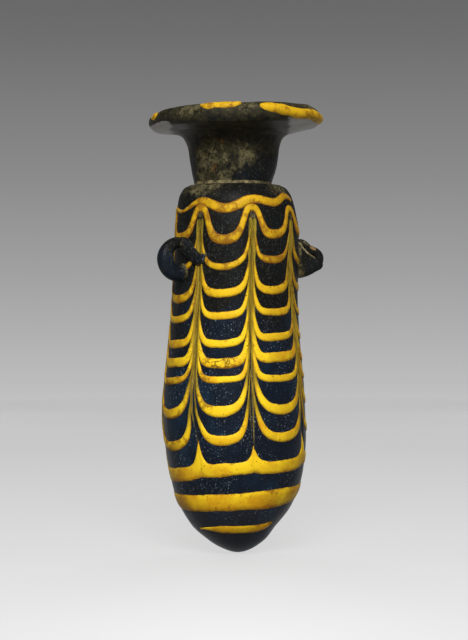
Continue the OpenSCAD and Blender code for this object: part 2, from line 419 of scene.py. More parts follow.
def apply_modifier(piece, kind, **settings):
    """Adds a modifier with its settings and applies it."""
    pick(piece)
    bpy.ops.object.modifier_add(type=kind)
    modifier = piece.modifiers[-1]
    for name, value in settings.items():
        setattr(modifier, name, value)
    bpy.ops.object.modifier_apply(modifier=modifier.name)


def soften(piece):
    """Rounds a piece off by one level of subdivision."""
    apply_modifier(piece, "SUBSURF", levels=1, render_levels=1)


def join(pieces, name):
    """Joins pieces into the first of them."""
    pick(*pieces)
    bpy.ops.object.join()
    return named(name)


def mark(piece, name, value_at):
    """Keeps a value with each point of a piece, for its finish to read."""
    layer = piece.data.attributes.new(name, "FLOAT", "POINT")
    for i, v in enumerate(piece.data.vertices):
        layer.data[i].value = value_at(v.co, v.normal)


def finish_piece(piece, node, finish):
    """Gives a piece its finish and puts it in the place of its solid."""
    pick(piece)
    bpy.ops.object.shade_smooth_by_angle(angle=SMOOTH_UNDER)
    piece.data.materials.clear()
    piece.data.materials.append(finish)
    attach(piece, "root")
    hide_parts(node)


# The wall and the trail on it

class Wall:
    """The outside of the body, with its lean and the furrows that the comb left."""

    FURROW_WIDTH = 0.55 * MM
    # How far it swells between the strokes, and how soon
    SWELL = 0.22 * MM
    SWELL_REACH = 3 * MM
    OUTLINE_STEPS = 6
    # The shares of its height over which the strokes of the comb begin and end
    COMBED_FROM = (0.22, 0.34)
    COMBED_TO = (0.892, 0.918)
    # The waves in it, which fade this far under its top
    UNEVEN = ((0.28, 1.6, 0.09, 0), (0.09, 6, 0.33, 5))
    EVEN_TOP = 4 * MM

    def __init__(self, sizes):
        self.sizes = sizes
        knots = [Vector((r * sizes.belly_radius, z * sizes.body_height)) for r, z in BODY_SHAPE]
        self.outline = smooth_curve(
            knots, Vector((-knots[1].x, knots[1].y)), self.OUTLINE_STEPS)
        self.radii = [(p.y, p.x) for p in self.outline]

    def radius(self, z):
        """Radius of the even wall at a height."""
        return between(self.radii, z)

    def hollow(self):
        """The outline of the inside, from its bottom up."""
        s = self.sizes
        across = (s.belly_radius - s.wall) / s.belly_radius
        up = (s.body_height - 2 * s.wall) / s.body_height
        return [Vector((p.x * across, s.wall + p.y * up)) for p in self.outline[::2]]

    def angle(self, panels, z):
        """The angle that is this many panels round, with the wandering of the strokes beside it."""
        left = math.floor(panels - 0.5)
        drift = [between(COMB_DRIFT[(left + i) % COMBS], z / MM, soft=True) for i in (0, 1)]
        drift = drift[0] + (drift[1] - drift[0]) * (panels - 0.5 - left)
        return TRAIL_FROM + PANEL * panels + math.radians(drift)

    def stroke_distance(self, panels):
        """Distance along the wall to the nearest stroke."""
        return (0.5 - abs(panels - math.floor(panels + 0.5))) * PANEL * self.sizes.belly_radius

    def combed(self, z):
        """One where the comb has gone up the wall, nought below and above."""
        share = z / self.sizes.body_height
        return smooth_step(*self.COMBED_FROM, share) * (1 - smooth_step(*self.COMBED_TO, share))

    def point(self, panels, z, out=0.0):
        """A point on the wall, or out from it, this many panels round."""
        distance = self.stroke_distance(panels)
        furrow = self.sizes.furrow_depth * math.exp(-(distance / self.FURROW_WIDTH) ** 2)
        swell = self.SWELL * (1 - math.exp(-distance / self.SWELL_REACH))
        out += (swell - furrow) * self.combed(z)
        return self.around(self.angle(panels, z), z, out)

    def around(self, angle, z, out=0.0):
        """A point on the wall without its furrows, or out from it, at an angle."""
        top = self.sizes.body_height
        full = self.radius(z) / self.sizes.belly_radius * smooth_step(top, top - self.EVEN_TOP, z)
        uneven = unevenness(self.UNEVEN, math.cos(angle), math.sin(angle), z)
        return self.even(angle, z, uneven * full + out)

    def even(self, angle, z, out):
        """A point out from the wall, as it would be without its waves."""
        r = self.radius(z) + out
        lean = between(LEAN, z / MM, soft=True) * MM
        return Vector((r * math.cos(angle), r * math.sin(angle), z)) + LEAN_TOWARDS * lean


def bunched(steps):
    """Panels for even steps, with the steps close together at the strokes."""
    middle = math.floor(steps + 0.5)
    return middle + math.sin(math.pi * (steps - middle)) / 2


class Trail:
    """The yellow thread, at a number of panels from its beginning."""

    # How high the comb drew it: the share of the wall where the arches stand, the steps from turn
    # to turn below them, the gap under them, and how sharply a pull comes to its end
    COMB_TOP_SHARE = 0.935
    COMB_STACK = 2.6 * MM
    COMB_GAP = 1.6 * MM
    LEVEL_POWER = 4
    # How soon it thins as it is drawn, and how much of the way to a stroke half of it may fill
    DRAWN_LENGTH = 6.5 * MM
    STROKE_CLEAR = 0.75
    # The peaks of the second turn and the notches under them
    PEAK_SPREAD = 0.8
    NOTCH = 0.6 * MM
    NOTCH_REACH = 2.2 * MM
    # The arches at the ends of the strokes, and how much it thins in them
    ARCH_SPREAD = 1.1 * MM
    ARCH_POWER = 2
    ARCH_THINNED = 0.2
    ARCH_RISE = 4 * MM
    # Height in millimetres and how much of its tightness a stroke has there
    TIGHT_UP = ((36, 0), (43, 1.3), (54, 1.2), (66, 0.85))
    # How it begins and ends: the length of its taper and the share at the tip, the share at the far
    # end and the length there, and how blunt that end is
    TAPER_TURNS = 0.12
    TIP_SHARE = 0.25
    END_TAPER = 0.45
    END_PANELS = 0.6
    BLUNT = 0.02
    # Half of it at the least, and the step in panels that slopes are taken over
    LEAST_HALF = 0.01 * MM
    SLOPE_STEP = 0.002
    # How much its width, its edges and its height waver
    WIDTH_WAVER = 0.12
    EDGE_WAVER = 0.08 * MM
    EDGE_MOST = 0.1
    HEIGHT_WAVER = 0.12 * MM

    def __init__(self, wall):
        self.wall = wall
        self.sizes = wall.sizes
        self.columns = [[(i, turn[c]) for i, turn in enumerate(TURNS)] for c in range(2)]

    def value(self, panels, column):
        """Reads the table of turns: its first column is height, its second is width."""
        return between(self.columns[column], panels / COMBS - FRONT_SHARE)

    def over_panels(self, panels, of):
        """A value that each panel has in its middle, softly from one to the next."""
        panel = math.floor(panels)
        return of(panel) + (of(panel + 1) - of(panel)) * smooth_step(0, 1, panels - panel)

    def lift(self, panels):
        """How far the thread hangs above or below an even climb."""
        def of(panel):
            turn, place = divmod(panel, COMBS)
            if place in FRONT_PANELS and 0 <= turn < len(LIFTS):
                return LIFTS[turn][FRONT_PANELS.index(place)] * MM
            return LOOSE_LIFT * waver(panel * 1.7, 4.2, 0.5)
        return self.over_panels(panels, of)

    def at_front(self, panels, table, elsewhere):
        """What a table says of a turn in the panels of the front, or else one value."""
        def of(panel):
            turn, place = divmod(panel, COMBS)
            if place in FRONT_PANELS and turn in table:
                return table[turn][FRONT_PANELS.index(place)]
            return elsewhere
        return self.over_panels(panels, of)

    def hang(self, panels):
        """The height of the thread away from the strokes."""
        return (self.value(panels, 0) * self.sizes.body_height + self.lift(panels)
                + self.HEIGHT_WAVER * waver(panels * 2.3, 0.3, 7.1))

    def pull(self, panels, share, spread):
        """How far a stroke would draw the thread up here."""
        reach = self.sizes.comb_spread * spread
        return self.sizes.comb_pull * share * math.exp(-self.wall.stroke_distance(panels) / reach)

    def rise(self, panels, turn):
        """How far the comb has drawn the thread up here, up to the end of the stroke."""
        if COMBING[turn] in (BAND, PEAKS):
            return 0.0
        stroke = math.floor(panels) % COMBS
        arc = MM * (1 - math.cos(2 * math.pi * panels)) / 2
        if COMBING[turn] == WAVED:
            return WAVES[stroke] * arc
        power = self.LEVEL_POWER
        limit = (self.COMB_TOP_SHARE * self.sizes.body_height
                 - self.COMB_STACK * (LAST_TURN - 1 - turn) - self.hang(panels))
        if COMBING[turn] == ARCHED:
            power = self.ARCH_POWER
            gone = ARCH_REACHES[stroke] * MM - self.wall.stroke_distance(panels)
            pull = limit * math.exp(gone / self.ARCH_SPREAD)
        else:
            limit -= self.COMB_GAP
            tight = TIGHTNESS[stroke] * between(self.TIGHT_UP, self.hang(panels) / MM)
            pull = self.pull(panels, 1, 1 - tight)
        rise = pull / (1 + (pull / limit) ** power) ** (1 / power)
        return rise + ROUNDED[turn] * arc * (1 - rise / limit)

    def width(self, panels):
        """Half the width of the thread where it hangs."""
        width = self.sizes.thread_width * self.value(panels, 1)
        width *= self.at_front(panels, FRONT_WIDTHS, 1)
        begun = min(1, self.TIP_SHARE + panels / COMBS / self.TAPER_TURNS)
        to_end = TRAIL_LENGTH * COMBS - panels
        left = to_end * PANEL * self.sizes.belly_radius / width
        ended = math.sqrt(max(self.BLUNT, 1 - max(0, 1 - left) ** 2))
        ended *= self.END_TAPER + (1 - self.END_TAPER) * smooth_step(0, self.END_PANELS, to_end)
        return width * begun * ended / 2 * (1 + self.WIDTH_WAVER * waver(panels * 4.4, 1.5, 2.5))

    def section(self, panels, turn):
        """The middle of the thread, the way across it, half its width and how far it is drawn."""
        rise = self.rise(panels, turn)
        height = self.hang(panels) + rise
        half = self.width(panels)
        if COMBING[turn] in (BAND, PEAKS):
            return height, (0, 1), half, 0.0
        step = self.SLOPE_STEP
        run = 2 * step * PANEL * self.sizes.belly_radius
        climb = sum(d * (self.hang(panels + d * step) + self.rise(panels + d * step, turn))
                    for d in (-1, 1))
        length = math.hypot(run, climb)
        across = (-climb / length, run / length)
        if COMBING[turn] == PULLED:
            clear = self.STROKE_CLEAR * self.wall.stroke_distance(panels)
            half = max(self.LEAST_HALF, min(clear, half * math.exp(-rise / self.DRAWN_LENGTH)))
        elif COMBING[turn] == ARCHED:
            half *= 1 - self.ARCH_THINNED * smooth_step(0, self.ARCH_RISE, rise)
        return height, across, half, rise

    def place(self, panels, turn, share):
        """Panels and height on the wall at a share of the way across, from -1 to 1."""
        height, across, half, rise = self.section(panels, turn)
        rough = min(self.EDGE_MOST, self.EDGE_WAVER / half)
        half *= 1 + rough * waver(panels * 11, 1.7 * share, turn * 3.1)
        aside = across[0] * half * share / (PANEL * self.sizes.belly_radius)
        up = across[1] * half * share
        if COMBING[turn] == PEAKS:
            peak = PEAK_SHARES[math.floor(panels) % COMBS]
            notch = self.NOTCH * math.exp(-self.wall.stroke_distance(panels) / self.NOTCH_REACH)
            up += (1 + share) / 2 * self.pull(panels, peak, self.PEAK_SPREAD)
            up += (1 - share) / 2 * notch
        return panels + aside, height + up, half, rise


# Finishes

class Value:
    """A socket in a finish, for use in sums."""

    def __init__(self, finish, socket):
        self.finish = finish
        self.socket = socket

    def other(self, output):
        """Another output of the same node."""
        return Value(self.finish, self.socket.node.outputs[output])

    def __add__(self, term):
        return self.finish.sum("ADD", self, term)

    def __sub__(self, term):
        return self.finish.sum("SUBTRACT", self, term)

    def __rsub__(self, term):
        return self.finish.sum("SUBTRACT", term, self)

    def __mul__(self, term):
        return self.finish.sum("MULTIPLY", self, term)

    __radd__ = __add__
    __rmul__ = __mul__


class Finish:
    """A material and the nodes that make its look."""

    def __init__(self, name):
        self.material = bpy.data.materials.new(name)
        self.material.use_nodes = True
        self.tree = self.material.node_tree
        self.tree.nodes.clear()
        self.place = self.node("ShaderNodeTexCoord", output="Object")

    def node(self, kind, settings=None, inputs=None, output=0):
        """Adds a node: its settings first, then the values or links of its sockets."""
        node = self.tree.nodes.new(kind)
        for name, value in (settings or {}).items():
            if name == "stops":
                ramp = node.color_ramp.elements
                while len(ramp) < len(value):
                    ramp.new(1)
                for stop, (position, colour) in zip(ramp, value):
                    stop.position, stop.color = position, colour
            else:
                setattr(node, name, value)
        for name, value in (inputs or {}).items():
            if isinstance(value, Value):
                self.tree.links.new(value.socket, node.inputs[name])
            else:
                node.inputs[name].default_value = value
        return Value(self, node.outputs[output])

    def sum(self, operation, *terms):
        """A sum of values, or what another operation makes of them."""
        return self.node("ShaderNodeMath", {"operation": operation}, dict(enumerate(terms)))

    def vector(self, operation, *terms, output=0):
        """The same for vectors."""
        return self.node(
            "ShaderNodeVectorMath", {"operation": operation}, dict(enumerate(terms)), output)

    def mix(self, factor, a, b):
        """A colour between two others, by a factor."""
        return self.node(
            "ShaderNodeMix", {"data_type": "RGBA"}, {0: factor, 6: full(a), 7: full(b)}, 2)

    def height(self):
        """Height above the floor."""
        return self.node("ShaderNodeSeparateXYZ", None, {0: self.place}, "Z")

    def step(self, value, low, high):
        """Nought up to low, one from high on, and a soft step between them."""
        return self.node(
            "ShaderNodeMapRange", {"interpolation_type": "SMOOTHSTEP"},
            {"Value": value, "From Min": low, "From Max": high})

    def ragged(self, value, grain, amount, low, high):
        """A soft step with an edge that noise breaks up."""
        return self.step(value + (grain - 0.5) * amount, low, high)

    def grain(self, scale, detail=3.0, roughness=0.5, place=None):
        """Cloudy noise with this many clouds to the metre."""
        return self.node(
            "ShaderNodeTexNoise", None,
            {"Vector": place or self.place, "Scale": scale, "Detail": detail,
             "Roughness": roughness})

    def patches(self, scale, detail, roughness, low, high):
        """Soft patches where such noise goes from low to high."""
        return self.step(self.grain(scale, detail, roughness), low, high)

    def dots(self, scale, size, share):
        """Dots of a size, as a share of their spacing, in this share of the places for them."""
        cells = self.node(
            "ShaderNodeTexVoronoi", None, {"Vector": self.place, "Scale": scale}, "Distance")
        chance = self.node("ShaderNodeSeparateColor", None, {"Color": cells.other("Color")})
        ripe = self.step(chance, 1 - share, 1 - share * 0.4)
        return self.step(cells, size, size * 0.45) * ripe

    def mark(self, name):
        """A value that was kept with the points of a piece."""
        return self.node("ShaderNodeAttribute", {"attribute_name": name}, None, "Fac")

    def bump(self, height, strength, distance):
        return self.node(
            "ShaderNodeBump", None,
            {"Height": height, "Strength": strength, "Distance": distance})

    def surface(self, **inputs):
        """Ends the finish with a shader; underscores in the names stand for spaces."""
        shader = self.node(
            "ShaderNodeBsdfPrincipled", None,
            {name.replace("_", " "): value for name, value in inputs.items()})
        self.end(shader)
        return self.material

    def end(self, shader):
        """Joins a shader to the output."""
        output = self.tree.nodes.new("ShaderNodeOutputMaterial")
        self.tree.links.new(shader.socket, output.inputs["Surface"])


def full(colour):
    """A colour with its alpha, or a link as it is."""
    return colour if isinstance(colour, Value) else (*colour, 1.0)


def toned(colour, share):
    """A colour made darker, or lighter."""
    return [level * share for level in colour]


def mixed(a, b, share):
    """A fixed colour between two others, with this share of the second."""
    return [x + (y - x) * share for x, y in zip(a, b)]


def comb_streaks(f, colours, close, long, low, high):
    """Upright streaks, so many to the metre across and along, and the olive that they leave."""
    streaks = f.grain(1, 4, 0.6, f.vector("MULTIPLY", f.place, (close, close, long)))
    olive = f.mix(f.step(streaks, low, high), toned(colours.olive, 0.36), colours.olive)
    return streaks, olive


def dark_glass(colours):
    """Dark blue glass with pale specks, olive comb streaks and patches of crust."""
    f = Finish("dark_glass_finish")
    height = f.height()
    # Random clouds of blue, and more blue on the front panel, which is partly painted light
    clouds = f.step(f.grain(95, 5, 0.6) + f.mark("blue") * 0.13, 0.46, 0.74)
    colour = f.mix(clouds, colours.dark, colours.blue)
    # Painted reflection of the pale floor: a little grey on the glass near the bottom
    floor_sheen = f.step(height, 0.018, 0.010)
    colour = f.mix(floor_sheen * 0.02, colour, colours.film)
    soot = f.ragged(f.mark("soot"), f.grain(80, 4), 1.6, 0.25, 0.75)
    colour = f.mix(soot * 0.85, colour, colours.sooty)

    streaks, smear = comb_streaks(f, colours, 1500, 55, 0.34, 0.58)
    combed = f.ragged(f.mark("comb"), streaks, 0.7, 0.28, 0.66)
    colour = f.mix(combed * 0.92, colour, smear)

    swarm = f.patches(130, 4, 0.6, 0.40, 0.60) * f.step(height, 0.003, 0.013)
    dust = f.dots(3000, 0.36, 0.6)
    fine = f.dots(1900, 0.33, 0.55)
    large = f.dots(1050, 0.20, 0.16)
    specks = f.sum("MAXIMUM", dust * swarm * 0.28, fine * (0.06 + swarm * 0.50))
    specks = f.sum("MAXIMUM", specks, large * (0.2 + swarm * 0.7))
    grimy = f.step(f.mark("soot"), 1.0, 1.4)
    colour = f.mix(specks * (1 - soot * 0.7) * (1 - grimy * 0.9), colour, colours.speck)
    grime = f.patches(420, 9, 0.74, 0.34, 0.66) * grimy
    colour = f.mix(grime * 0.62, colour, toned(colours.crust, 0.7))
    flecks = f.patches(1500, 5, 0.7, 0.54, 0.66) * soot
    colour = f.mix(flecks * 0.35, colour, colours.crust)

    crusted = f.step(f.grain(130, 10, 0.74) + f.mark("crust") * 0.42, 0.67, 0.81)
    earth = f.mix(f.patches(700, 10, 0.80, 0.41, 0.59),
                  toned(colours.crust, 0.12), toned(colours.crust, 1.75))
    for patches, share, tone in (
            (f.patches(210, 5, 0.6, 0.44, 0.60), 0.75, toned(colours.crust, 0.30)),
            (f.patches(330, 6, 0.7, 0.60, 0.70), 0.6, colours.rust),
            (f.patches(1300, 6, 0.7, 0.58, 0.68), 0.5, colours.pale)):
        earth = f.mix(patches * share, earth, tone)
    colour = f.mix(crusted * 0.92, colour, earth)

    # Painted reflection: grey on the underside of the rim, at its left and right
    sheen_mask = f.ragged(f.mark("film"), f.grain(260, 6, 0.65), 1.1, 0.35, 0.8)
    colour = f.mix(sheen_mask * 0.85, colour, colours.film)
    paled = f.step(f.grain(520, 7, 0.68) * 0.8 + f.mark("pale"), 0.78, 1.08)
    colour = f.mix(paled, colour, colours.pale)
    stained = f.ragged(f.mark("stain"), f.grain(700, 4), 0.6, 0.45, 0.75)
    colour = f.mix(stained * 0.8, colour, mixed(colours.rust, colours.pale, 0.4))

    rough = 0.34 + clouds * 0.06 + soot * 0.10 + crusted * 0.35 + paled * 0.30 + combed * 0.15
    pits = f.dots(800, 0.40, 0.5)
    relief = f.grain(700, 6, 0.62) * 0.35 + crusted * 0.5 + paled * 0.3 - pits * 0.45
    return f.surface(
        Base_Color=colour, Roughness=rough, Normal=f.bump(relief, 0.35, 0.25 * MM),
        Specular_IOR_Level=0.04)


def yellow_glass(colours):
    """Opaque yellow glass with amber clouds, rust stains and pits, olive where it is drawn thin."""
    f = Finish("yellow_glass_finish")
    across = f.mark("across")
    edge = f.sum("ABSOLUTE", across)
    height = f.height()
    weathered = f.step(height, 0.046, 0.086)
    lowest = f.step(height, 0.019, 0.015)
    clouds = f.step(f.grain(130, 6, 0.62) + lowest * 0.10, 0.43, 0.73)
    young = f.mix(clouds, colours.yellow, colours.amber)
    faded = toned(mixed(colours.amber, colours.yellow, 0.475), 0.8)
    colour = f.mix(weathered, young, f.mix(clouds, faded, colours.aged))

    # Painted shade: patchy darker rust on the trail round the sides and the back
    side_shade_mask = f.mark("dirty") * f.patches(240, 7, 0.66, 0.22, 0.60)
    colour = f.mix(side_shade_mask * 1.1, colour, colours.rust)
    stained = f.step(f.grain(48, 3) + weathered * 0.12, 0.47, 0.66)
    worn = f.mark("worn")
    stains = f.step(
        f.grain(420, 8, 0.7) + edge * edge * 0.10 + stained * 0.15 + worn * 0.07, 0.61, 0.76)
    colour = f.mix(stains * 0.75, colour, colours.rust)
    bent = f.vector("MULTIPLY_ADD", f.grain(500, 3).other("Color"), [1.2 * MM] * 3, f.place)
    cells = f.node(
        "ShaderNodeTexVoronoi", {"feature": "DISTANCE_TO_EDGE"},
        {"Vector": bent, "Scale": 760}, "Distance")
    cracks = f.ragged(cells, f.grain(1100, 4), 0.5, 0.10, 0.0)
    cracks = cracks * f.ragged(worn, f.grain(240, 4), 1.6, 0.45, 1.0)
    colour = f.mix(cracks * 0.75, colour, toned(colours.rust, 0.4))

    streaks, thin = comb_streaks(f, colours, 1700, 60, 0.36, 0.62)
    drawn = f.ragged(f.mark("drawn"), streaks, 0.4, 0.20, 0.52)
    colour = f.mix(drawn * 0.92, colour, thin)

    # Painted shade under the relief: patchy rust along the lower edge of each thread
    under = f.step((f.grain(700, 5, 0.6) - 0.5) * 0.9 - across, 0.35, 1.05)
    colour = f.mix(under * 0.55, colour, colours.rust)
    rim = f.ragged(edge + weathered * 0.10, f.grain(900, 4), 0.6, 0.80, 1.06)
    colour = f.mix(rim * 0.8, colour, colours.rust)
    pits = f.sum("MAXIMUM", f.dots(1500, 0.26, 0.20), f.dots(620, 0.15, 0.20))
    colour = f.mix(pits * 0.85, colour, toned(colours.rust, 0.25))

    rough = 0.44 + stains * 0.2 + drawn * 0.08
    relief = f.grain(600, 6, 0.62) * 0.35 - pits * 0.7 - stains * 0.2
    return f.surface(
        Base_Color=colour, Roughness=rough, Normal=f.bump(relief, 0.35, 0.22 * MM),
        Specular_IOR_Level=0.05)


def made_finish(make):
    """The finish with this maker, made once."""
    name = f"{make.__name__}_finish"
    found = bpy.data.materials.get(name)
    return found or make(bpy.context.scene.flask_colours)


# Pieces

class FLASK_OT_body(bpy.types.Operator):
    """Make the hollow dark body with the furrows of the comb"""

    bl_idname = "flask.body"
    bl_label = "Body"

    PANEL_COLUMNS = 36
    ON_WALL = 0.01 * MM
    # The smear beside a stroke: its edges, the heights over which it gets broad and strong, what it
    # has of either below them, and the bare line in its middle
    SMEAR = (0.65 * MM, 1.55 * MM)
    BROADENS, NARROW = (30 * MM, 42 * MM), 0.4
    STRENGTHENS, FAINT = (40 * MM, 56 * MM), 0.5
    BARE, BARE_WIDTH = 0.6, 0.16 * MM
    # The crusted pit where a stroke ends: its edges to the sides, below and above
    PIT = 0.8
    PIT_SIDES, PIT_FROM, PIT_TO = (0.7 * MM, 1.5 * MM), (82 * MM, 83.5 * MM), (85 * MM, 86 * MM)
    # Partly painted light: lighter blue kept to the front panel, where the key light falls head-on
    # Where it lies: its side, how far round it goes, its edges by the strokes and above
    BLUE_SIDE = math.radians(-116)
    BLUE_ROUND, BLUE_INNER, BLUE_TOP = (0.72, 0.97), (1.2 * MM, 5.5 * MM), (42 * MM, 54 * MM)
    # Crust on the shoulder, most of it on the left, and round the foot of the right lug
    SHOULDER, SHOULDER_CRUST, LEFT_CRUST = (0.93, 1.0), 0.48, 0.6
    BY_LUG, LUG_CRUST = (4 * MM, 8 * MM), 0.85
    SOOT = (40 * MM, 74 * MM)

    def streak(self, wall, panels, z):
        """How much of the yellow the comb has smeared on the wall."""
        distance = wall.stroke_distance(panels)
        broad = self.NARROW + (1 - self.NARROW) * smooth_step(*self.BROADENS, z)
        smear = 1 - smooth_step(*[edge * broad for edge in self.SMEAR], distance)
        furrow = 1 - self.BARE * math.exp(-(distance / self.BARE_WIDTH) ** 2)
        strong = self.FAINT + (1 - self.FAINT) * smooth_step(*self.STRENGTHENS, z)
        return smear * furrow * strong * wall.combed(z)

    def pit(self, wall, panels, z):
        """How much crust is in the pit where a stroke ends."""
        beside = 1 - smooth_step(*self.PIT_SIDES, wall.stroke_distance(panels))
        return self.PIT * beside * smooth_step(*self.PIT_FROM, z) * (
            1 - smooth_step(*self.PIT_TO, z))

    def blue(self, wall, panels, z):
        """Blue, most low in the front panel: partly the glass's tone, partly painted light."""
        inner = smooth_step(*self.BLUE_INNER, wall.stroke_distance(panels))
        front = smooth_step(*self.BLUE_ROUND, math.cos(wall.angle(panels, z) - self.BLUE_SIDE))
        return inner * front * wall.combed(z) * (1 - smooth_step(*self.BLUE_TOP, z))

    def execute(self, context):
        sizes = context.scene.flask_sizes
        wall = Wall(sizes)
        throat = sizes.bore_radius + THROAT_EASE
        top = sizes.body_height
        outline = [*wall.outline, (throat, top), (throat, top - sizes.wall), *wall.hollow()[::-1]]
        piece = turn_outline("body", outline, COMBS * self.PANEL_COLUMNS)
        streaked = {}
        for v in piece.data.vertices:
            r, z = math.hypot(v.co.x, v.co.y), v.co.z
            if abs(r - wall.radius(z)) > self.ON_WALL:
                continue
            panels = bunched(math.atan2(v.co.y, v.co.x) / PANEL % COMBS)
            streaked[v.index] = [
                of(wall, panels, z) for of in (self.streak, self.pit, self.blue)]
            v.co = wall.point(panels, z)
        if not streaked:
            raise RuntimeError("the wall of the body was not found")
        left = level_way(LUG_LEFT)
        right = wall.around(LUG_RIGHT, sizes.lug_height)

        def crust(point, normal):
            shoulder = smooth_step(*self.SHOULDER, point.z / top)
            by_lug = 1 - smooth_step(*self.BY_LUG, (point - right).length)
            thick = self.SHOULDER_CRUST + self.LEFT_CRUST * point.normalized().dot(left)
            return shoulder * thick + self.LUG_CRUST * by_lug

        mark(piece, "crust", crust)
        for name in ("comb", "blue"):
            mark(piece, name, lambda point, normal: 0.0)
        layers = piece.data.attributes
        for index, (streak, pit, blue) in streaked.items():
            layers["comb"].data[index].value = streak
            layers["crust"].data[index].value += pit
            layers["blue"].data[index].value = blue
        mark(piece, "soot", lambda point, normal: smooth_step(*self.SOOT, point.z))
        finish_piece(piece, "body", made_finish(dark_glass))
        return {"FINISHED"}


class FLASK_OT_neck(bpy.types.Operator):
    """Make the neck, which flares into the rim more widely on one side"""

    bl_idname = "flask.neck"
    bl_label = "Neck"

    STEPS = 96
    CURVE_STEPS = 5
    FLARE = 1.0 * MM
    # How far its top goes out and up into the rim
    INTO_RIM = (1.2 * MM, 0.5 * MM)
    UNEVEN = ((0.25, 1.4, 0.12, 0), (0.08, 7, 0.4, 0))
    # Heights above its foot over which the crust thins, the soot thickens and the pale line ends
    CLEAN, SOOTY, PALE = (7.5 * MM, 12 * MM), (5 * MM, 10 * MM), (0.6 * MM, 1.4 * MM)
    # The crust all round it, more of it on the crusty side, and less where it is clean
    CRUST, SIDE_CRUST, CLEANED = 0.22, 0.56, 0.34
    # Points closer in than this many radii of the bore are left round
    BORE_CLEAR = 1.1

    def execute(self, context):
        sizes = context.scene.flask_sizes
        foot = sizes.body_height
        high = RIM_BOX[0].z - foot
        knots = [Vector((r * sizes.neck_radius, foot + z * high)) for r, z in NECK_SHAPE]
        outside = smooth_curve(
            knots, Vector((knots[1].x, 2 * foot - knots[1].y)), self.CURVE_STEPS)
        inside_rim = outside[-1] + Vector(self.INTO_RIM)
        outline = [(sizes.bore_radius, foot), *outside, inside_rim,
                   (sizes.bore_radius, inside_rim.y)]
        piece = turn_outline("neck", outline, self.STEPS, closed=True)
        for v in piece.data.vertices:
            r = math.hypot(v.co.x, v.co.y)
            if r < sizes.bore_radius * self.BORE_CLEAR:
                continue
            out = Vector((v.co.x / r, v.co.y / r, 0))
            share = (v.co.z - foot) / high
            flare = self.FLARE * max(0, -out.dot(LEAN_TOWARDS)) * share ** 3
            uneven = unevenness(self.UNEVEN, out.x, out.y, v.co.z)
            v.co += out * (flare + uneven) + LEAN_TOWARDS * NECK_LEAN * (1 - share)
        crusty = level_way(CRUST_SIDE)

        def up(span, point):
            return smooth_step(*span, point.z - foot)

        mark(piece, "crust", lambda point, normal: (
            self.CRUST + self.SIDE_CRUST * smooth_step(0.5, 1, normal.dot(crusty))
            - self.CLEANED * up(self.CLEAN, point)))
        mark(piece, "soot", lambda point, normal: 0.75 + 0.85 * up(self.SOOTY, point))
        mark(piece, "pale", lambda point, normal: 0.54 * (1 - up(self.PALE, point)))
        finish_piece(piece, "neck", made_finish(dark_glass))
        return {"FINISHED"}


